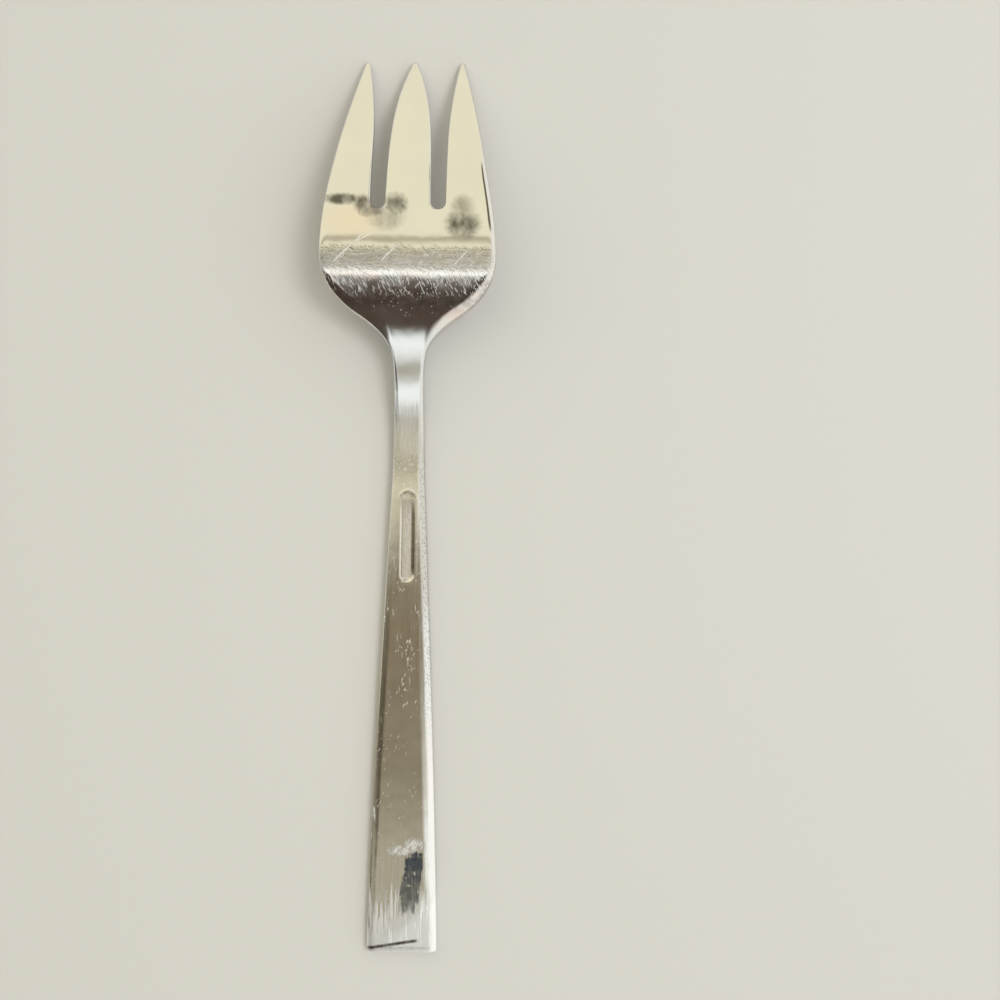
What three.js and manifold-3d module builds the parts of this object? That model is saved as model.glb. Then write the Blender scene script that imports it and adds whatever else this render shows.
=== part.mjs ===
// Cold meat fork with three tines, forged from one bar of stainless steel and bent in one direction only.
// It lies with its face down: the flat face of the handle and the three tine tips touch the table at z = 0,
// and the head arches up between them. The neck, head and tines are zones of the same bar, so neighbouring
// zones end on one shared plane. Millimetres, +Y from the handle to the tips, +Z up through the fork's back,
// with the origin on the table under the middle of the fork.

import * as THREE from "three";
import { mergeVertices } from "three/addons/utils/BufferGeometryUtils.js";
import Module from "manifold-3d";

// Zone lengths along the fork, from the square end of the handle to the tips.
const HANDLE_LENGTH = 113;
const NECK_LENGTH = 31;
const HEAD_LENGTH = 34.1;
const TINE_LENGTH = 37.9;

// Full widths, seen from above. The draw-in is how much narrower each side is at the tine roots.
const HANDLE_END_WIDTH = 17.1;
const HANDLE_NECK_WIDTH = 8.1;
const WAIST_WIDTH = 7.1;
const NECK_HEAD_WIDTH = 8.0;
const SHOULDER_WIDTH = 23;
const HEAD_WIDTH = 40.8;
const ROOT_DRAW_IN = 1.15;
const CENTRE_TINE_WIDTH = 10.5;
const SLOT_WIDTH = 3.4;
const TIP_WIDTH = 1.0;
const TIP_SPACING = 11.5;

// Where the outline changes, measured from the start of its zone.
const WAIST_FROM_HANDLE = 22;
const SHOULDER_FROM_NECK = 8.5;
const WIDEST_FROM_NECK = 22;
const SLOT_STRAIGHT_LENGTH = 13.9;

// How fast half the width, or one edge, moves sideways for each millimetre towards the tips.
const END_TAPER = -0.02;
const WAIST_TAPER = -0.045;
const NECK_FLARE = 0.17;
const SHOULDER_FLARE = 1.6;
const ROOT_TAPER = -0.155;
const CENTRE_ROOT_TAPER = -0.035;
const OUTER_TIP_TAPER = -0.25;
const INNER_TIP_FLARE = 0.19;
const CENTRE_TIP_TAPER = -0.4;

// Height of the underside over the table, and its slope, at the stations of the bend.
const NECK_RISE = 3.3;
const NECK_SLOPE = 0.28;
const HEEL_RISE = 7.4;
const HEEL_SLOPE = 0.48;
const HEEL_FROM_NECK = 11;
const BROW_RISE = 11.1;
const BROW_SLOPE = 0.25;
const BROW_FROM_NECK = 21;
const CROWN_RISE = 12.8;
const CROWN_FROM_NECK = 33;
const KNEE_RISE = 9.6;
const KNEE_SLOPE = -0.38;
const KNEE_FROM_ROOT = 13.9;
const TIP_SLOPE = -0.4;

// Thickness of the bar, measured straight up.
const END_THICKNESS = 2.2;
const HANDLE_THICKNESS = 3.3;
const NECK_THICKNESS = 3.2;
const CROWN_THICKNESS = 2.4;
const TIP_THICKNESS = 1.2;

// Rounded edges: along the handle and neck, along the tines, over the square end and at its corners.
const HANDLE_EDGE_ROUND = 1.1;
const TINE_EDGE_ROUND = 0.7;
const END_ROUND = 1.0;
const END_CORNER_ROUND = 0.5;
const TIP_ROUND = 0.4;

// Sunken bare panel on the back of the handle, where such a fork is stamped.
const PANEL_LENGTH = 21.8;
const PANEL_WIDTH = 3.4;
const PANEL_DEPTH = 0.3;
const PANEL_FROM_END = 100.8;

// Fineness of the facets.
const HANDLE_STEP = 9;
const NECK_STEP = 1.8;
const HEAD_STEP = 1.2;
const TINE_STEP = 1.8;
const CORNER_STEPS = 2;
const END_STEPS = 3;
const ROUND_CUT_STEPS = 12;
const CUT_CLEARANCE = 1;
const LEAST_FLAT_SHARE = 0.1;

const LENGTH = HANDLE_LENGTH + NECK_LENGTH + HEAD_LENGTH + TINE_LENGTH;
const END = -LENGTH / 2;
const NECK_START = END + HANDLE_LENGTH;
const HEAD_START = NECK_START + NECK_LENGTH;
const ROOT = HEAD_START + HEAD_LENGTH;
const TIP = ROOT + TINE_LENGTH;
const CROWN = HEAD_START + CROWN_FROM_NECK;

// A smooth curve through stations of [y, value, slope], read as a function of y.
function curveAlong(stations) {
  const spans = [];
  for (let i = 1; i < stations.length; i++) {
    const [y0, value0, slope0] = stations[i - 1];
    const [y1, value1, slope1] = stations[i];
    const third = (y1 - y0) / 3;
    spans.push(
      new THREE.CubicBezierCurve(
        new THREE.Vector2(y0, value0),
        new THREE.Vector2(y0 + third, value0 + slope0 * third),
        new THREE.Vector2(y1 - third, value1 - slope1 * third),
        new THREE.Vector2(y1, value1),
      ),
    );
  }
  return (y) => {
    const span = spans.find((s) => y <= s.v3.x) ?? spans.at(-1);
    return span.getPoint((y - span.v0.x) / (span.v3.x - span.v0.x)).y;
  };
}

// Half the width of the whole fork: slow flare of the handle, waist, shoulders, then the outer tine edges.
const outerEdge = curveAlong([
  [END, HANDLE_END_WIDTH / 2, END_TAPER],
  [NECK_START, HANDLE_NECK_WIDTH / 2, WAIST_TAPER],
  [NECK_START + WAIST_FROM_HANDLE, WAIST_WIDTH / 2, 0],
  [HEAD_START, NECK_HEAD_WIDTH / 2, NECK_FLARE],
  [HEAD_START + SHOULDER_FROM_NECK, SHOULDER_WIDTH / 2, SHOULDER_FLARE],
  [HEAD_START + WIDEST_FROM_NECK, HEAD_WIDTH / 2, 0],
  [ROOT, HEAD_WIDTH / 2 - ROOT_DRAW_IN, ROOT_TAPER],
  [TIP, TIP_SPACING + TIP_WIDTH / 2, OUTER_TIP_TAPER],
]);

// Slot edges: the side of the centre tine, and the inner side of an outer tine.
const slotInside = CENTRE_TINE_WIDTH / 2;
const slotOutside = slotInside + SLOT_WIDTH;
const centreEdge = curveAlong([
  [ROOT, slotInside, CENTRE_ROOT_TAPER],
  [TIP, TIP_WIDTH / 2, CENTRE_TIP_TAPER],
]);
const innerEdge = curveAlong([
  [ROOT, slotOutside, 0],
  [ROOT + SLOT_STRAIGHT_LENGTH, slotOutside, 0],
  [TIP, TIP_SPACING - TIP_WIDTH / 2, INNER_TIP_FLARE],
]);

// Side view: the underside leaves the table at the neck, crowns over the head and comes down at the tips.
const underside = curveAlong([
  [END, 0, 0],
  [NECK_START, 0, 0],
  [HEAD_START, NECK_RISE, NECK_SLOPE],
  [HEAD_START + HEEL_FROM_NECK, HEEL_RISE, HEEL_SLOPE],
  [HEAD_START + BROW_FROM_NECK, BROW_RISE, BROW_SLOPE],
  [CROWN, CROWN_RISE, 0],
  [ROOT + KNEE_FROM_ROOT, KNEE_RISE, KNEE_SLOPE],
  [TIP, 0, TIP_SLOPE],
]);
const thinning = (TIP_THICKNESS - CROWN_THICKNESS) / (TIP - CROWN);
const thickness = curveAlong([
  [END, END_THICKNESS, (HANDLE_THICKNESS - END_THICKNESS) / HANDLE_LENGTH],
  [NECK_START, HANDLE_THICKNESS, 0],
  [HEAD_START, NECK_THICKNESS, 0],
  [CROWN, CROWN_THICKNESS, thinning],
  [TIP, TIP_THICKNESS, thinning],
]);
const edgeRound = curveAlong([
  [END, HANDLE_EDGE_ROUND, 0],
  [HEAD_START, HANDLE_EDGE_ROUND, 0],
  [ROOT, TINE_EDGE_ROUND, 0],
  [TIP, TINE_EDGE_ROUND, 0],
]);

// How far a face draws in at distance d from an end that is rounded over by the given radius.
function drawnIn(d, radius) {
  if (d >= radius) return 0;
  return radius - Math.sqrt(radius ** 2 - (radius - d) ** 2);
}

// One cross-section, a rounded rectangle in the plane y, counter-clockwise seen from the handle's end.
function section(y, left, right, bottom, top) {
  const most = (0.5 - LEAST_FLAT_SHARE / 2) * Math.min(right - left, top - bottom);
  const round = Math.min(edgeRound(y), most);
  const corners = [
    [right - round, bottom + round, -Math.PI / 2],
    [right - round, top - round, 0],
    [left + round, top - round, Math.PI / 2],
    [left + round, bottom + round, Math.PI],
  ];
  const ring = [];
  for (const [x, z, start] of corners) {
    for (let i = 0; i <= CORNER_STEPS; i++) {
      const angle = start + (i / CORNER_STEPS) * (Math.PI / 2);
      ring.push(new THREE.Vector3(x + round * Math.cos(angle), y, z + round * Math.sin(angle)));
    }
  }
  return ring;
}

// A closed solid that runs through rings of equally many points, with a flat cap at each end.
function loft(rings) {
  const size = rings[0].length;
  const index = [];
  for (let r = 0; r + 1 < rings.length; r++) {
    for (let i = 0; i < size; i++) {
      const here = r * size + i;
      const next = r * size + ((i + 1) % size);
      index.push(here, here + size, next);
      index.push(next, here + size, next + size);
    }
  }
  const last = (rings.length - 1) * size;
  for (let i = 1; i + 1 < size; i++) {
    index.push(0, i, i + 1);
    index.push(last, last + i + 1, last + i);
  }
  const geometry = new THREE.BufferGeometry().setFromPoints(rings.flat());
  geometry.setIndex(index);
  return geometry;
}

// Stations from one plane to another, both included, no further apart than step.
function stations(from, to, step) {
  const count = Math.ceil((to - from) / step);
  return Array.from({ length: count + 1 }, (_, i) => (i === count ? to : from + ((to - from) * i) / count));
}

// Stations that crowd together towards an end which is rounded over by the given radius.
function roundedStations(end, inward, radius) {
  return Array.from({ length: END_STEPS }, (_, i) => {
    const angle = (i / END_STEPS) * (Math.PI / 2);
    return end + inward * radius * (1 - Math.sin(Math.PI / 2 - angle));
  });
}

const wasm = await Module();
wasm.setup();

function toSolid(geometry) {
  const bare = new THREE.BufferGeometry();
  bare.setAttribute("position", geometry.getAttribute("position"));
  bare.setIndex(geometry.index);
  const merged = mergeVertices(bare);
  const mesh = new wasm.Mesh({
    numProp: 3,
    vertProperties: merged.attributes.position.array,
    triVerts: new Uint32Array(merged.index.array),
  });
  return new wasm.Manifold(mesh);
}

function toGeometry(solid) {
  const mesh = solid.getMesh();
  const geometry = new THREE.BufferGeometry();
  geometry.setAttribute("position", new THREE.BufferAttribute(mesh.vertProperties, mesh.numProp));
  geometry.setIndex(new THREE.BufferAttribute(mesh.triVerts, 1));
  return geometry;
}

// An upright cutter over a plan outline, from one height to another.
function cutter(outline, from, to) {
  const geometry = new THREE.ExtrudeGeometry(outline, {
    depth: to - from,
    bevelEnabled: false,
    curveSegments: ROUND_CUT_STEPS,
  });
  return toSolid(geometry.translate(0, 0, from));
}

// Flat tapering grip with a square, rounded-over end and the sunken panel in its back.
function handleGeometry() {
  const reach = Math.max(END_ROUND, END_CORNER_ROUND);
  const planes = [...roundedStations(END, 1, reach), ...stations(END + reach, NECK_START, HANDLE_STEP)];
  const rings = planes.map((y) => {
    const half = outerEdge(y) - drawnIn(y - END, END_CORNER_ROUND);
    const over = Math.min(drawnIn(y - END, END_ROUND), (0.5 - LEAST_FLAT_SHARE) * thickness(y));
    return section(y, -half, half, underside(y) + over, underside(y) + thickness(y) - over);
  });
  const radius = PANEL_WIDTH / 2;
  const centre = END + PANEL_FROM_END;
  const straight = PANEL_LENGTH / 2 - radius;
  const outline = new THREE.Shape();
  outline.absarc(0, centre + straight, radius, 0, Math.PI);
  outline.absarc(0, centre - straight, radius, Math.PI, 2 * Math.PI);
  outline.closePath();
  const floor = thickness(centre) - PANEL_DEPTH;
  const panel = cutter(outline, floor, HANDLE_THICKNESS + CUT_CLEARANCE);
  return toGeometry(toSolid(loft(rings)).subtract(panel));
}

// Narrow waist that lifts the head off the table.
function neckGeometry() {
  const rings = stations(NECK_START, HEAD_START, NECK_STEP).map((y) => {
    const half = outerEdge(y);
    return section(y, -half, half, underside(y), underside(y) + thickness(y));
  });
  return loft(rings);
}

// Shoulders and crown, up to the plane where the slots have their full width, with the slots' round ends.
function headGeometry() {
  const rings = stations(HEAD_START, ROOT, HEAD_STEP).map((y) => {
    const half = outerEdge(y);
    return section(y, -half, half, underside(y), underside(y) + thickness(y));
  });
  let solid = toSolid(loft(rings));
  for (const side of [-1, 1]) {
    const outline = new THREE.Shape();
    outline.absarc((side * (slotInside + slotOutside)) / 2, ROOT, SLOT_WIDTH / 2, 0, 2 * Math.PI);
    solid = solid.subtract(cutter(outline, 0, CROWN_RISE + CROWN_THICKNESS + CUT_CLEARANCE));
  }
  return toGeometry(solid);
}

// One tine between two edges, running down to a small rounded tip.
function tineGeometry(left, right) {
  const planes = [...stations(ROOT, TIP - TIP_ROUND, TINE_STEP), ...roundedStations(TIP, -1, TIP_ROUND).reverse()];
  const rings = planes.map((y) => {
    const inset = drawnIn(TIP - y, TIP_ROUND);
    const top = underside(y) + thickness(y) - inset;
    return section(y, left(y) + inset, right(y) - inset, underside(y), top);
  });
  return loft(rings);
}

const polishedSteel = new THREE.MeshStandardMaterial({ color: 0xd4d0c6, metalness: 1, roughness: 0.22 });
const fork = new THREE.Group();

function addZone(name, geometry) {
  geometry.computeVertexNormals();
  const mesh = new THREE.Mesh(geometry, polishedSteel);
  mesh.name = name;
  fork.add(mesh);
}

addZone("handle", handleGeometry());
addZone("neck", neckGeometry());
addZone("head", headGeometry());
addZone("tine_left", tineGeometry((y) => -outerEdge(y), (y) => -innerEdge(y)));
addZone("tine_centre", tineGeometry((y) => -centreEdge(y), centreEdge));
addZone("tine_right", tineGeometry(innerEdge, outerEdge));

export default fork;
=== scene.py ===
"""Cold meat fork of stainless steel with three tines, lying face down on a pale floor."""

import math

import bmesh
import bpy
from mathutils import Matrix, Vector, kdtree


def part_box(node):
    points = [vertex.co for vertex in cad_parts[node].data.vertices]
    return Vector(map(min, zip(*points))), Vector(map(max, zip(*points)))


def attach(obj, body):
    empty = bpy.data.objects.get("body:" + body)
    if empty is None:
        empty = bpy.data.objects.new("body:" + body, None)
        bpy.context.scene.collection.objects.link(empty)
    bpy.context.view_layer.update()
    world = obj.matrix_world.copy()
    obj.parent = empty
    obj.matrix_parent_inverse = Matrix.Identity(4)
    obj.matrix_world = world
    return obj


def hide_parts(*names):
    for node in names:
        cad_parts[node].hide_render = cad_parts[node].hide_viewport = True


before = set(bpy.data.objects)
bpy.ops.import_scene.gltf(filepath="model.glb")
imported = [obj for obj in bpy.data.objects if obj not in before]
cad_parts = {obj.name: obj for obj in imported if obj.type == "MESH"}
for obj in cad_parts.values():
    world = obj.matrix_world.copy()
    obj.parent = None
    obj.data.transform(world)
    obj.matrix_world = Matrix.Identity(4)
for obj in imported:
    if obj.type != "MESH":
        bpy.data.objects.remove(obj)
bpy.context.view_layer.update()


# The fork is stamped out of one strip of stainless steel, thick at the neck and thin at the tips.
# Its blank is flat, with the slots cut through and all the rims rolled over so that nothing is sharp.
MM = 0.001
handle_low, handle_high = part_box("handle")
neck_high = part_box("neck")[1]
head_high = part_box("head")[1]
centre_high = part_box("tine_centre")[1]
right_low, right_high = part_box("tine_right")

HANDLE_END = handle_low.y
NECK_START = handle_high.y
HEAD_START = neck_high.y
TINE_ROOT = head_high.y
TIP = centre_high.y
WAIST = NECK_START + 22 * MM
SHOULDER = HEAD_START + 8.5 * MM
WIDEST = HEAD_START + 22 * MM
SLOT_FLARE_START = TINE_ROOT + 13.9 * MM

TIP_OUTSIDE = 12 * MM
TIP_INSIDE = 11 * MM
CENTRE_TIP_HALF = 0.5 * MM
SLOT_INSIDE = centre_high.x
SLOT_OUTSIDE = right_low.x
END_CORNER = 0.5 * MM
TIP_NOSE = 0.5 * MM
RIM_ROLL = 0.38 * MM
BLANK_THICKNESS = 3 * MM
COLUMNS = 34


def curve_along(*stations):
    """A smooth curve through stations of (y, value, slope), read as a function of y."""

    def read(y):
        for (y0, v0, s0), (y1, v1, s1) in zip(stations, stations[1:]):
            if y <= y1:
                break
        span = y1 - y0
        t = (y - y0) / span
        start = (v0 * (1 + 2 * t) + s0 * span * t) * (1 - t) ** 2
        return start + (v1 * (3 - 2 * t) + s1 * span * (t - 1)) * t ** 2

    return read


def steps(start, stop, spacing):
    count = max(1, round(abs(stop - start) / spacing))
    return [start + (stop - start) * i / count for i in range(count + 1)]


def arc(centre, radii, start, stop, count):
    angles = [math.radians(a) for a in steps(start, stop, abs(stop - start) / count)]
    return [(centre[0] + radii[0] * math.cos(a), centre[1] + radii[1] * math.sin(a)) for a in angles]


outer_edge = curve_along(
    (HANDLE_END, handle_high.x, -0.02),
    (NECK_START, 4.05 * MM, -0.045),
    (WAIST, 3.55 * MM, 0),
    (HEAD_START, 4.0 * MM, 0.17),
    (SHOULDER, 11.5 * MM, 1.6),
    (WIDEST, head_high.x, 0),
    (TINE_ROOT, right_high.x, -0.155),
    (TIP, TIP_OUTSIDE, -0.25),
)
centre_edge = curve_along((TINE_ROOT, SLOT_INSIDE, -0.035), (TIP, CENTRE_TIP_HALF, -0.4))
inner_edge = curve_along(
    (TINE_ROOT, SLOT_OUTSIDE, 0), (SLOT_FLARE_START, SLOT_OUTSIDE, 0), (TIP, TIP_INSIDE, 0.19)
)

nose_start = TIP - TIP_NOSE
tine_steps = steps(TINE_ROOT, nose_start, 0.8 * MM)
outer_steps = (
    steps(HANDLE_END + END_CORNER, NECK_START, 3 * MM)
    + steps(NECK_START, HEAD_START, 0.8 * MM)[1:]
    + steps(HEAD_START, TINE_ROOT, 0.4 * MM)[1:]
    + tine_steps[1:]
)
corner_centre = (handle_high.x - END_CORNER, HANDLE_END + END_CORNER)
outer_nose = ((outer_edge(nose_start) + inner_edge(nose_start)) / 2, nose_start)
nose_half = (outer_edge(nose_start) - inner_edge(nose_start)) / 2
slot_middle = (SLOT_INSIDE + SLOT_OUTSIDE) / 2
slot_radius = (SLOT_OUTSIDE - SLOT_INSIDE) / 2
half_outline = (
    [(0, HANDLE_END)]
    + arc(corner_centre, (END_CORNER, END_CORNER), -90, 0, 4)[:-1]
    + [(outer_edge(y), y) for y in outer_steps]
    + arc(outer_nose, (nose_half, TIP_NOSE), 0, 180, 8)[1:-1]
    + [(inner_edge(y), y) for y in reversed(tine_steps)]
    + arc((slot_middle, TINE_ROOT), (slot_radius, slot_radius), 0, -180, 16)[1:-1]
    + [(centre_edge(y), y) for y in tine_steps]
    + arc((0, nose_start), (centre_edge(nose_start), TIP_NOSE), 0, 90, 5)[1:]
)


def everything(blank):
    return blank.verts[:] + blank.edges[:] + blank.faces[:]


blank = bmesh.new()
blank.faces.new([blank.verts.new((x, y, 0)) for x, y in half_outline])
bmesh.ops.mirror(blank, geom=everything(blank), matrix=Matrix.Identity(4), merge_dist=1e-6, axis="X")
lifted = bmesh.ops.extrude_face_region(blank, geom=blank.faces[:] + blank.edges[:], use_keep_orig=True)
lifted_verts = [v for v in lifted["geom"] if isinstance(v, bmesh.types.BMVert)]
bmesh.ops.translate(blank, verts=lifted_verts, vec=(0, 0, BLANK_THICKNESS))
bmesh.ops.recalc_face_normals(blank, faces=blank.faces[:])

rims = [e for e in blank.edges if e.is_manifold and abs(e.calc_face_angle() - math.pi / 2) < 0.01
        and abs(e.verts[0].co.z - e.verts[1].co.z) < 1e-7]
bmesh.ops.bevel(blank, geom=rims, offset=RIM_ROLL, offset_type="OFFSET", segments=4, profile=0.5,
                affect="EDGES", clamp_overlap=False, material=-1)


# The stamp is a shallow panel with round ends, pressed into the back of the handle near the neck.
# Its floor is bare and lightly stippled, and its walls are as soft as a die leaves them.
PANEL_LENGTH = 21.6 * MM
PANEL_WIDTH = 3.5 * MM
PANEL_Y = HANDLE_END + 100.8 * MM
PANEL_LEFT_DEPTH = 0.05 * MM
PANEL_RIGHT_DEPTH = 0.42 * MM
PANEL_LEFT_WALL = 0.22 * MM
PANEL_RIGHT_WALL = 1.0 * MM
PANEL_RUN_OUT = 7 * MM
LIP_HEIGHT = 0.04 * MM
LIP_WIDTH = 0.35 * MM


def outside_panel(x, y):
    """How far a point of the plan lies outside the panel's round-ended outline."""
    straight = PANEL_LENGTH / 2 - PANEL_WIDTH / 2
    return math.hypot(x, max(0, abs(y - PANEL_Y) - straight)) - PANEL_WIDTH / 2


def soft_step(value, low, high):
    t = min(1, max(0, (value - low) / (high - low)))
    return t * t * (3 - 2 * t)


def stamped(x, y):
    """How far the stamp moves the back of the handle: a floor that dips to the right, and a raised lip."""
    outside = outside_panel(x, y)
    share = soft_step(x, -PANEL_WIDTH / 2, PANEL_WIDTH / 2)
    depth = PANEL_LEFT_DEPTH + (PANEL_RIGHT_DEPTH - PANEL_LEFT_DEPTH) * share
    depth *= soft_step(PANEL_Y + PANEL_LENGTH / 2 - y, 0, PANEL_RUN_OUT)
    wall = PANEL_LEFT_WALL + (PANEL_RIGHT_WALL - PANEL_LEFT_WALL) * share
    lip = LIP_HEIGHT * math.exp(-((outside - LIP_WIDTH) / LIP_WIDTH) ** 2)
    return lip - depth * (1 - soft_step(outside, -wall, 0))


# The blank is bent lengthwise only: the handle stays flat, the neck lifts the head and the tines come down.
# Broad soft rolls are ground along the edges of its back, over the square end and round the heel.
CROWN = HEAD_START + 33 * MM
underside = curve_along(
    (HANDLE_END, 0, 0),
    (NECK_START, 0, 0),
    (NECK_START + 4 * MM, 0.07 * MM, 0.035),
    (NECK_START + 9 * MM, 0.28 * MM, 0.05),
    (NECK_START + 13 * MM, 0.55 * MM, 0.10),
    (NECK_START + 17 * MM, 1.20 * MM, 0.225),
    (WAIST, 2.42 * MM, 0.258),
    (WAIST + 5.3 * MM, 3.67 * MM, 0.211),
    (HEAD_START + 2 * MM, 5.04 * MM, 0.275),
    (HEAD_START + 7 * MM, 6.66 * MM, 0.376),
    (HEAD_START + 11 * MM, 8.20 * MM, 0.400),
    (HEAD_START + 17.3 * MM, 10.64 * MM, 0.378),
    (HEAD_START + 18.5 * MM, 11.06 * MM, 0.318),
    (HEAD_START + 21 * MM, 11.77 * MM, 0.255),
    (HEAD_START + 24.5 * MM, 12.44 * MM, 0.148),
    (HEAD_START + 27 * MM, 12.77 * MM, 0.112),
    (CROWN, 13.10 * MM, 0),
    (SLOT_FLARE_START, 9.7 * MM, -0.38),
    (TIP, 0, -0.4),
)
THINNING = -1.2 / 39
thickness = curve_along(
    (HANDLE_END, 2.2 * MM, 1.1 / 113),
    (NECK_START, 3.3 * MM, 0),
    (HEAD_START, 3.2 * MM, 0),
    (CROWN, 2.4 * MM, THINNING),
    (TIP, 1.2 * MM, THINNING),
)
roll_width = curve_along(
    (HANDLE_END, 2.1 * MM, 0),
    (NECK_START, 2.1 * MM, 0),
    (WAIST, 1.4 * MM, 0),
    (HEAD_START, 1.0 * MM, 0),
    (SHOULDER, 3.2 * MM, 0),
    (WIDEST, 1.3 * MM, 0),
    (TINE_ROOT + 6 * MM, 1.2 * MM, 0),
    (SLOT_FLARE_START + 2 * MM, 0.4 * MM, 0),
    (TIP, 0.4 * MM, 0),
)
roll_slope = curve_along(
    (HANDLE_END, 0.5, 0),
    (NECK_START, 0.5, 0),
    (HEAD_START, 0.35, 0),
    (SHOULDER, 0.38, 0),
    (WIDEST, 0.4, 0),
    (TINE_ROOT, 0.5, 0),
    (TIP, 0.5, 0),
)
END_ROLL_SLOPE = 0.5
END_ROLL = 1.6 * MM

side_steps = steps(HANDLE_END, TIP, 0.05 * MM)
side_line = kdtree.KDTree(len(side_steps))
for number, y in enumerate(side_steps):
    side_line.insert((outer_edge(y), y, 0), number)
side_line.balance()


def rolled_off(x, y):
    """How far the broad roll along the edges lowers the back of the fork at a point of the plan."""
    width = roll_width(y)
    side = max(0, 1 - side_line.find((abs(x), y, 0))[2] / width)
    end = max(0, 1 - (y - HANDLE_END) / END_ROLL)
    return roll_slope(y) / 2 * width * side ** 2 + END_ROLL_SLOPE / 2 * END_ROLL * end ** 2


PANEL_REACH = 13 * MM
stations = (
    steps(HANDLE_END, HANDLE_END + 3 * MM, 0.2 * MM)
    + steps(HANDLE_END + 3 * MM, PANEL_Y - PANEL_REACH, 1.5 * MM)
    + steps(PANEL_Y - PANEL_REACH, PANEL_Y + PANEL_REACH, 0.25 * MM)
    + steps(PANEL_Y + PANEL_REACH, HEAD_START, 0.6 * MM)
    + steps(HEAD_START, TINE_ROOT, 0.4 * MM)
    + steps(TINE_ROOT, TIP, 0.6 * MM)
)


def cut(point, normal):
    bmesh.ops.bisect_plane(blank, geom=everything(blank), dist=1e-6, plane_co=point, plane_no=normal)


for y in stations:
    cut((0, y, 0), (0, 1, 0))
for vert in blank.verts:
    vert.co.x /= outer_edge(vert.co.y)
for share in steps(-1, 1, 1 / COLUMNS)[1:-1]:
    cut((share, 0, 0), (1, 0, 0))
for vert in blank.verts:
    vert.co.x *= outer_edge(vert.co.y)
    x, y, level = vert.co.x, vert.co.y, vert.co.z / BLANK_THICKNESS
    vert.co.z = underside(y) + level * (thickness(y) - rolled_off(x, y))
    if level > 0.99:
        vert.co.z += stamped(x, y)
bmesh.ops.recalc_face_normals(blank, faces=blank.faces[:])


def finished(shape, name):
    mesh = bpy.data.meshes.new(name)
    shape.to_mesh(mesh)
    shape.free()
    mesh.shade_smooth()
    piece = bpy.data.objects.new(name, mesh)
    bpy.context.scene.collection.objects.link(piece)
    return piece


fork = finished(blank, "fork")
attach(fork, "root")
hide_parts("handle", "neck", "head", "tine_left", "tine_centre", "tine_right")


# The steel is unplated and polished all over. Years of use left lengthwise wear, nicks, ticks on the heel
# and fine crossing scratches on the crown. Dark patches lie beside the slots and a dark line across the
# end.
# Painted into the colour are a dark reflection and reflected tints on the handle, highlights on its right
# edge and end, shade on the heel and in the stamp, and a cool reflected tint on the neck.
LIGHT_STEEL = (0.76, 0.74, 0.69, 1)
GREY_STEEL = (0.70, 0.68, 0.635, 1)
BRIGHT_WEAR_AND_HIGHLIGHT = (0.97, 0.97, 0.96, 1)
COOL_REFLECTION_TINT = (0.69, 0.70, 0.70, 1)
REFLECTED_STRAW = (0.62, 0.55, 0.43, 1)
REFLECTED_UMBER = (0.31, 0.27, 0.185, 1)
PEACH = (0.80, 0.68, 0.56, 1)
ROSE = (0.72, 0.55, 0.48, 1)
HEEL_SHADE_PAINT = (0.36, 0.33, 0.31, 1)
DARK_PATCH = (0.13, 0.12, 0.10, 1)
EDGE_GREY = (0.16, 0.16, 0.15, 1)
PANEL_TAN = (0.50, 0.44, 0.36, 1)
PANEL_WALL_SHADE = (0.14, 0.11, 0.07, 1)
DARK_REFLECTION = (0.07, 0.075, 0.08, 1)
END_LINE_DARK = (0.10, 0.08, 0.06, 1)
EDGE_TAPER = 0.0398


class Wire:
    """A socket in a node tree: arithmetic on it adds Math nodes, and node() adds any other node."""

    def __init__(self, tree, socket=None):
        self.tree = tree
        self.socket = socket

    def node(self, kind, settings=(), inputs=(), output=0):
        made = self.tree.nodes.new("ShaderNode" + kind)
        for name, value in dict(settings).items():
            if name == "stops":
                ramp = made.color_ramp
                for place, colour in value[2:]:
                    ramp.elements.new(place).color = colour
                for element, (place, colour) in zip(ramp.elements, value):
                    element.position = place
                    element.color = colour
            else:
                setattr(made, name, value)
        for name, value in dict(inputs).items():
            if isinstance(value, Wire):
                self.tree.links.new(value.socket, made.inputs[name])
            else:
                made.inputs[name].default_value = value
        return Wire(self.tree, made.outputs[output])

    def sibling(self, name):
        return Wire(self.tree, self.socket.node.outputs[name])

    def math(self, operation, *terms):
        return self.node("Math", {"operation": operation}, enumerate(terms))

    def __add__(self, other):
        return self.math("ADD", self, other)

    def __radd__(self, other):
        return self.math("ADD", other, self)

    def __sub__(self, other):
        return self.math("SUBTRACT", self, other)

    def __rsub__(self, other):
        return self.math("SUBTRACT", other, self)

    def __mul__(self, other):
        return self.math("MULTIPLY", self, other)

    def __rmul__(self, other):
        return self.math("MULTIPLY", other, self)

    def __truediv__(self, other):
        return self.math("DIVIDE", self, other)

    def __rtruediv__(self, other):
        return self.math("DIVIDE", other, self)


def rise(value, low, high):
    """0 up to low, 1 from high on, and smooth between them."""
    return value.node("MapRange", {"interpolation_type": "SMOOTHSTEP"},
                      {"Value": value, "From Min": low, "From Max": high})


def blended(factor, first, second):
    return factor.node("Mix", {"data_type": "RGBA"}, {0: factor, 6: first, 7: second}, 2)


def laid(place, size, turn=0, shift=0):
    """Coordinates for a pattern whose grain measures size millimetres, turned about the upright axis."""
    return place.node("Mapping", {"vector_type": "TEXTURE"}, {
        "Vector": place, "Location": (shift, shift, 0), "Rotation": (0, 0, math.radians(turn)),
        "Scale": (size[0], size[1], 1)})


def grain(place, size, turn=0, shift=0, detail=2):
    """Soft noise from 0 to 1, drawn out to the given size."""
    return place.node("TexNoise", {"noise_dimensions": "2D"}, {
        "Vector": laid(place, size, turn, shift), "Scale": 1, "Detail": detail})


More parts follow.
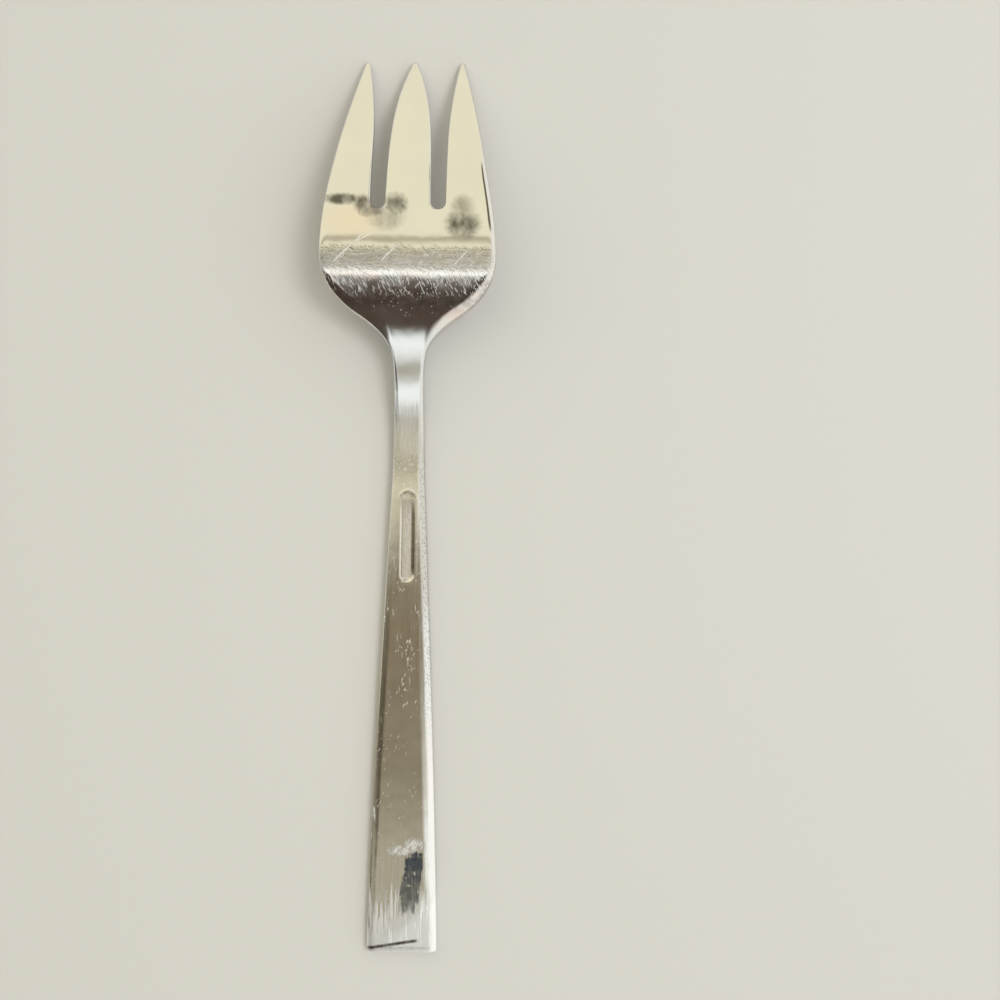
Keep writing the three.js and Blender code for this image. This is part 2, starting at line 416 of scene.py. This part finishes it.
def marks(place, size, turn, share, shift):
    """Separate dashes of the given size. Only a share of the places for them carry one."""
    cell = place.node("TexVoronoi", {"voronoi_dimensions": "2D"}, {
        "Vector": laid(place, size, turn, shift), "Scale": 1})
    pick = cell.node("SeparateColor", {}, {0: cell.sibling("Color")})
    return (1 - rise(cell, 0.12, 0.42)) * rise(pick, 1 - share, 1.02 - share * 0.8)


steel = bpy.data.materials.new("polished_steel")
steel.use_nodes = True
shader = steel.node_tree.nodes["Principled BSDF"]
surface = Wire(steel.node_tree)
where = surface.node("TexCoord", output="Object")
place = where.node("VectorMath", {"operation": "SCALE"}, {0: where, "Scale": 1 / MM})
x_mm = place.node("SeparateXYZ", {}, {0: place})
y_mm = x_mm.sibling("Y")
z_mm = x_mm.sibling("Z")


def spot(centre, reach, ragged):
    """A patch round a centre, 1 inside and 0 outside, with an edge broken up by the ragged noise."""
    dx = (x_mm - centre[0]) / reach[0]
    dy = (y_mm - centre[1]) / reach[1]
    return 1 - rise(dx * dx + dy * dy + ragged, 0, 1.3)


def line(start, stop, width):
    """A scratch along a straight line between two points, fading out at both ends."""
    span = math.dist(start, stop)
    run_x, run_y = (stop[0] - start[0]) / span, (stop[1] - start[1]) / span
    dx, dy = x_mm - start[0], y_mm - start[1]
    off = dx * run_y - dy * run_x
    on = dx * run_x + dy * run_y
    return (1 - rise(off.math("ABSOLUTE", off), width * 0.2, width)) * rise(on, 0, 1.5) * (
        1 - rise(on, span - 1.5, span))


def most(*masks):
    """The strongest of several masks at each point."""
    top = masks[0]
    for mask in masks[1:]:
        top = top.math("MAXIMUM", top, mask)
    return top


facing = where.node("SeparateXYZ", {}, {0: where.sibling("Normal")})
on_back = rise(facing.sibling("Z"), 0.3, 0.6)
on_handle = 1 - rise(y_mm, 20, 27)
on_heel_top = rise(y_mm, 48, 51) * (1 - rise(y_mm, 53.5, 55))
on_heel = rise(y_mm, 41, 44) * (1 - rise(y_mm, 53, 55))
brow_y = y_mm + 2.4 * (grain(place, (1.6, 0.6), turn=-35, shift=80) - 0.5)
on_brow = on_back * rise(brow_y, 54.2, 56) * (1 - rise(brow_y, 58.2, 60.2))
on_heel_edge = on_back * rise(y_mm, 51.5, 54) * (1 - rise(y_mm, 56, 58))
waist_y = y_mm + 5 * (grain(place, (0.5, 7), shift=84) - 0.5)
on_waist = rise(waist_y, 7, 18) * (1 - rise(waist_y, 18, 25.5))
on_neck = rise(y_mm, 20, 25) * (1 - rise(y_mm, 40, 44))
from_right = handle_high.x / MM - EDGE_TAPER * (y_mm - HANDLE_END / MM) - x_mm
on_flat = rise(from_right, 1.2, 2.2) * rise(y_mm, -107, -97)
# end_glow is a painted highlight across the end of the handle.
end_glow = 1 - rise(y_mm - 0.9 * x_mm, -105, -95)
on_low_handle = (1 - rise(y_mm, -70, -28)) * on_flat * (1 - end_glow)
on_end = 1 - rise(y_mm, -94, -80)

clouds = grain(place, (9, 9))
grit = grain(place, (0.9, 0.9), shift=31)
brushing = grain(place, (0.28, 14), shift=3)
broad_brushing = grain(place, (0.9, 30), shift=8)
slanted_rubbing = grain(place, (0.22, 4), turn=-47, shift=5)
slanted_ticks = grain(place, (0.3, 2.2), turn=33, shift=16)
level_rubbing = grain(place, (7, 0.35), shift=12)
worn = rise(grain(place, (6, 8), shift=21), 0.38, 0.72)
ragged = 1.2 * (grit - 0.5)
patchy = 0.6 + 0.9 * (grain(place, (2.6, 3.2), shift=50) - 0.5) + 0.15 * (brushing - 0.5)

ticks = on_heel_top * most(
    marks(place, (0.3, 2.4), 33, 0.26, 2),
    marks(place, (0.26, 1.6), 22, 0.22, 7),
    marks(place, (0.22, 0.9), -20, 0.16, 19),
)
specks = on_heel * (0.1 + 1.1 * grit) * marks(place, (0.28, 0.55), -20, 0.045, 17)
nicks = on_handle * worn * most(
    marks(place, (0.42, 1.5), -28, 0.08, 4),
    marks(place, (0.3, 0.8), 18, 0.06, 9),
    marks(place, (0.26, 3.0), 3, 0.05, 14),
)
neck_nicks = rise(y_mm, 1, 5) * (1 - rise(y_mm, 15, 18)) * (0.3 + grit) * most(
    marks(place, (0.34, 0.7), -15, 0.2, 61),
    marks(place, (0.26, 1.1), 20, 0.12, 66),
)
on_low_neck = rise(y_mm, 12, 16) * (1 - rise(y_mm, 23, 26))
neck_streaks = on_low_neck * rise(grain(place, (0.3, 6), shift=64), 0.48, 0.8)
hairlines = on_brow * most(
    marks(place, (0.2, 2.4), -47, 0.2, 23),
    marks(place, (0.18, 2.6), 84, 0.25, 27),
    marks(place, (0.25, 0.8), -10, 0.12, 29),
)
scratches = (0.75 + grit * 0.6) * most(
    line((-17.6, 55.8), (-9.2, 63.4), 0.27),
    line((-12.5, 60.4), (-7.2, 63.2), 0.19),
    line((-6.4, 56.2), (-1.8, 60.8), 0.28),
    line((9.8, 55.0), (14.0, 59.3), 0.18),
    line((-7.2, -72.0), (-6.9, -76.5), 0.3),
)
end_brushing = grain(place, (0.45, 9), shift=71)
end_streaks = on_end * rise(end_brushing + 0.42 * (1 - rise(y_mm, -106, -84)), 0.6, 0.92)
scuff = rise(grain(place, (0.6, 2.2), turn=-25, shift=60), 0.22, 0.6) * most(
    spot((2.7, -81.8), (2.6, 2.0), ragged),
    spot((-0.6, -83.1), (3.4, 1.4), ragged),
)
bright = on_back * most(
    ticks,
    specks,
    nicks * 0.85,
    neck_nicks * 0.7,
    neck_streaks * 0.45,
    hairlines * 0.8,
    scratches,
    end_streaks * (0.95 - 0.5 * end_glow),
    scuff,
)

# Dark patches are painted on the crown beside the slots.
dark_patches = patchy * most(
    spot((-15.2, 70.4), (4.6, 1.5), ragged * 0.4) * 1.5,
    spot((-10.4, 69.3), (2.2, 2.4), ragged * 0.5) * 1.2,
    spot((-8.2, 67.8), (3.6, 1.8), ragged * 0.5) * 1.3,
    spot((-2.8, 69.3), (3.0, 3.0), ragged * 0.5) * 1.3,
    spot((-5.0, 66.4), (4.8, 3.4), ragged * 0.4) * 0.6,
    spot((12.7, 65.2), (4.4, 3.6), ragged * 0.35) * 1.35,
    spot((12.6, 68.2), (3.2, 3.8), ragged * 0.35) * 0.8,
)
# Painted reflection and shade: the heel is tinted rose and darkened in its middle for the dark it mirrors.
on_mid_heel = rise(y_mm, 44.5, 48) * (1 - rise(y_mm, 52, 53.6))
heel_shade = on_mid_heel * rise(grain(place, (2.2, 1.4), shift=92), 0.25, 0.7)
heel_reflection_tint = on_heel * rise(grain(place, (7, 4), shift=95), 0.4, 0.65)
peach = spot((-12.8, 65.4), (8.0, 4.4), ragged * 0.3)
# Painted reflection: a dark patch near the end of the handle stands in for something dark mirrored there,
# broken by lighter gaps.
dark_reflection_x = (x_mm - 2.2 - 0.1 * (y_mm + 91)) / 2.5
dark_reflection_y = (y_mm + 91.2) / 8.0
frayed = 1.9 * (grain(place, (0.9, 4.5), shift=40) - 0.5) + 0.9 * (grit - 0.5)
dark_reflection_reach = dark_reflection_x * dark_reflection_x * dark_reflection_x * dark_reflection_x + dark_reflection_y * dark_reflection_y * dark_reflection_y * dark_reflection_y + frayed
painted_dark_reflection = (1 - rise(dark_reflection_reach, 0.5, 0.9)) * (
    0.68 + 0.55 * (grain(place, (1.1, 1.6), shift=44) - 0.5) + 0.4 * brushing * rise(y_mm, -99, -86)
    + 0.28 * rise(y_mm, -90, -84))
reflection_gaps = most(
    spot((1.7, -98.8), (0.9, 2.4), ragged * 0.7),
    spot((4.6, -98.0), (1.4, 3.0), ragged * 0.6),
    spot((2.9, -88.6), (0.35, 0.6), ragged * 0.4),
    spot((1.6, -91.6), (0.7, 0.3), ragged * 0.4),
)
painted_dark_reflection = painted_dark_reflection * (1 - 0.9 * reflection_gaps)
# Painted highlight: the right edge of the lower handle, on the lamp's side, is lightened.
painted_edge_highlight = on_back * (1 - rise(from_right, 1.9, 2.8)) * (1 - rise(y_mm, -30, -20))
on_worn_edge = rise(z_mm, 2.1, 2.4) * (1 - rise(from_right, 0.9, 1.7))
on_worn_edge = on_worn_edge * rise(y_mm, -68, -30) * (1 - rise(y_mm, 8, 22))
edge_wear = on_worn_edge * (0.25 + 0.5 * most(
    marks(place, (0.5, 0.9), 10, 0.4, 33),
    marks(place, (0.35, 0.5), -15, 0.4, 37),
))
# Painted shade: the stamp's right wall is darkened as if lying in its own shade.
painted_panel_wall_shade = rise(x_mm, 0.75, 1.1) * (1 - rise(x_mm, 1.6, 1.95))
painted_panel_wall_shade = painted_panel_wall_shade * rise(y_mm, -16.5, -14.5) * (1 - rise(y_mm, -3, 2))
# A dark line is painted across the rolled end of the handle.
end_dark_line = (0.7 + 0.6 * grit) * line((-8.9, -107.0), (4.4, -104.76), 0.6)
in_panel = (1 - rise(x_mm * x_mm, 1.4, 2.0)) * rise(y_mm, -17.6, -16.6) * (1 - rise(y_mm, 1, 3))

roughness = (
    0.06 + 0.03 * clouds + 0.36 * bright
    + on_handle * (0.05 + 0.08 * brushing + 0.05 * broad_brushing)
    + on_waist * 0.19 + on_neck * 0.06 + on_brow * (0.15 + 0.12 * level_rubbing) + in_panel * 0.12
)
height = (
    0.05 * clouds
    + on_handle * (1 - on_end) * (0.006 * brushing + 0.02 * broad_brushing)
    + on_brow * (0.016 * slanted_rubbing + 0.022 * level_rubbing) + on_heel_edge * 0.012 * slanted_ticks
    + in_panel * 0.09 * grit
)
tone = blended(clouds, GREY_STEEL, LIGHT_STEEL)
# Painted reflection: the flat of the lower handle, away from its right edge, is tinted straw and umber for
# the brown it mirrors.
tone = blended((1 - rise(y_mm, -32, -8)) * on_flat * 0.6, tone, REFLECTED_STRAW)
tone = blended(on_low_handle * 0.8, tone, REFLECTED_UMBER)
tone = blended(peach * 0.6, tone, PEACH)
tone = blended(heel_reflection_tint * 0.5, tone, ROSE)
tone = blended(heel_shade * 0.6, tone, HEEL_SHADE_PAINT)
# Painted reflection: the neck is tinted cool grey for the cool strip it mirrors.
tone = blended(on_neck * 0.8, tone, COOL_REFLECTION_TINT)
# Bright wear marks, and painted highlights along the right edge and across the end, lighten the colour.
tone = blended(most(bright, painted_edge_highlight * 0.7, end_glow * 0.95), tone, BRIGHT_WEAR_AND_HIGHLIGHT)
tone = blended(dark_patches, tone, DARK_PATCH)
tone = blended(edge_wear * 0.75, tone, EDGE_GREY)
tone = blended(in_panel * 0.45, tone, PANEL_TAN)
tone = blended(painted_panel_wall_shade * 0.75, tone, PANEL_WALL_SHADE)
tone = blended(painted_dark_reflection, tone, DARK_REFLECTION)
tone = blended(end_dark_line * 0.95, tone, END_LINE_DARK)
dents = surface.node("Bump", {}, {"Height": height, "Distance": MM, "Strength": 1})
for socket, value in (("Base Color", tone), ("Roughness", roughness), ("Normal", dents)):
    surface.tree.links.new(value.socket, shader.inputs[socket])
shader.inputs["Metallic"].default_value = 1
fork.data.materials.append(steel)


# The floor is a plain flat sheet of pale matt paper, wide enough to fill the view from above.
# The fork lies on it face down and throws a soft shadow on it.
FLOOR_HALF = 4
FLOOR_GAP = 0.1 * MM
floor_shape = bmesh.new()
bmesh.ops.create_grid(floor_shape, x_segments=1, y_segments=1, size=FLOOR_HALF)
bmesh.ops.translate(floor_shape, verts=floor_shape.verts[:], vec=(0, 0, -FLOOR_GAP))
floor = finished(floor_shape, "floor")
paper = bpy.data.materials.new("pale_paper")
paper.use_nodes = True
paper_shader = paper.node_tree.nodes["Principled BSDF"]
paper_shader.inputs["Base Color"].default_value = (0.66, 0.65, 0.63, 1)
paper_shader.inputs["Roughness"].default_value = 0.9
floor.data.materials.append(paper)


# The studio is a tent of plain cards for the steel to mirror: warm overhead and ahead of the tips, brown
# a little behind that, then a cool strip and a dark card, with white on the right and dim on the left.
# It is pale all round near the floor. A soft lamp on the right throws the shadow and isn't mirrored.
WARM = (1.06, 1.02, 0.80, 1)
OLIVE = (0.55, 0.50, 0.37, 1)
BROWN = (0.205, 0.16, 0.10, 1)
SHADE = (0.12, 0.10, 0.07, 1)
BEIGE = (0.58, 0.55, 0.46, 1)
TAN = (0.48, 0.44, 0.35, 1)
COOL = (1.38, 1.42, 1.40, 1)
DARK = (0.095, 0.075, 0.06, 1)
PALE = (0.82, 0.81, 0.79, 1)
WHITE = (1.06, 1.05, 1.00, 1)
GAP_SHADE = (0.16, 0.14, 0.09, 1)
SPREAD = 3.0

studio = bpy.data.worlds.new("studio")
bpy.context.scene.world = studio
studio.use_nodes = True
sky = Wire(studio.node_tree)
toward_x = sky.node("SeparateXYZ", {}, {0: sky.node("TexCoord")})
toward_y = toward_x.sibling("Y")
toward_z = toward_x.sibling("Z")
upward = toward_z.math("MAXIMUM", toward_z, 0.05)
along = toward_y / upward
across = toward_x / upward
card_edges = (
    (-1.5, PALE), (-0.95, PALE),
    (-0.82, DARK), (-0.505, DARK),
    (-0.465, COOL), (-0.37, COOL),
    (-0.335, BEIGE), (-0.27, TAN),
    (-0.19, BROWN), (-0.075, BROWN),
    (-0.06, SHADE), (-0.04, SHADE),
    (-0.03, WARM), (0.022, WARM),
    (0.032, OLIVE), (0.055, OLIVE),
    (0.075, WARM),
)
cards = along.node(
    "ValToRGB",
    {"stops": [(edge / SPREAD + 0.5, colour) for edge, colour in card_edges]},
    {"Fac": along / SPREAD + 0.5},
)
over_tines = rise(along, 0.12, 0.2) * rise(toward_z, 0.5, 0.6)
rim_gap = over_tines * rise(across, 0.05, 0.1) * (1 - rise(across, 0.22, 0.32))
cards = blended(rise(across, 0.03, 0.3), cards, WHITE)
cards = blended(rim_gap, cards, GAP_SHADE)
leftward = 0 - across
beside_left = rise(leftward, 0.25, 0.42) * rise(along, -0.46, -0.42) * (1 - rise(along, -0.12, -0.05))
cards = blended(beside_left, cards, SHADE)
behind_left = rise(leftward, 0.18, 0.28)
not_far = rise(along, -0.61, -0.57)
cards = blended(behind_left * not_far * (1 - rise(along, -0.46, -0.44)), cards, COOL)
cards = blended(behind_left * (1 - not_far), cards, DARK)
cards = blended(1 - rise(toward_z, 0.22, 0.36), cards, PALE)
background = studio.node_tree.nodes["Background"]
studio.node_tree.links.new(cards.socket, background.inputs["Color"])
background.inputs["Strength"].default_value = 1

key = bpy.data.lights.new("key", "AREA")
key.energy = 2.0
key.size = 0.3
key_lamp = bpy.data.objects.new("key", key)
bpy.context.scene.collection.objects.link(key_lamp)
key_lamp.location = (0.43, 0.10, 0.77)
key_lamp.visible_glossy = False
key_lamp.rotation_euler = key_lamp.location.to_track_quat("Z", "Y").to_euler()


# The camera looks straight down with the lens of a phone that is held over the fork.
# It hangs a little to the right of the fork, and is turned by less than a degree.
camera_data = bpy.data.cameras.new("camera")
camera_data.sensor_width = 36
camera_data.lens = 36.23
camera_data.clip_start = 0.01
camera = bpy.data.objects.new("camera", camera_data)
bpy.context.scene.collection.objects.link(camera)
camera.location = (22.16 * MM, 2.02 * MM, 245.7 * MM)
camera.rotation_euler = (0, 0, math.radians(0.899))
bpy.context.scene.camera = camera
bpy.context.scene.view_settings.view_transform = "Standard"
